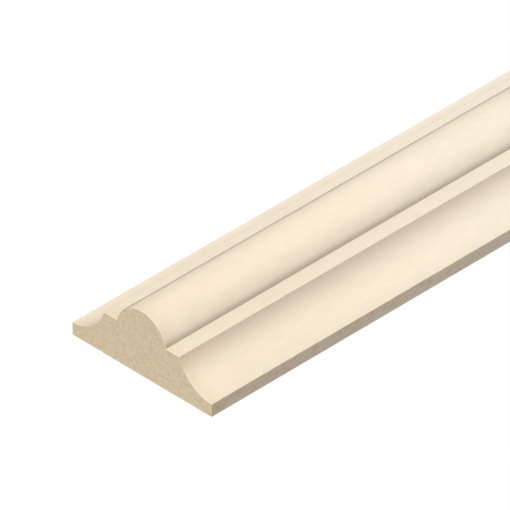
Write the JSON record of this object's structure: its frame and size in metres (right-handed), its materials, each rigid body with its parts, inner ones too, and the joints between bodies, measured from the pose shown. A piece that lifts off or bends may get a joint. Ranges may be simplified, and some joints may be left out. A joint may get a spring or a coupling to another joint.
{
  "type": "double astragal moulding",
  "caption": "Long trim strip with a flat back and a symmetrical face: a round bead along the middle, then a flat fillet and a hollow cove out to each thin edge.",
  "frame": {"origin": "on the flat back, in the middle of the width and of the length", "axes": "+X across the width, +Y along the length, +Z out of the moulded face"},
  "size_m": [0.02, 2.4, 0.008],
  "materials": {
    "pale_wood": "bare, smooth machined, pale cream, with tan speckled sawn ends"
  },
  "bodies": {
    "root": {"moulding": "pale_wood"}
  },
  "joints": []
}
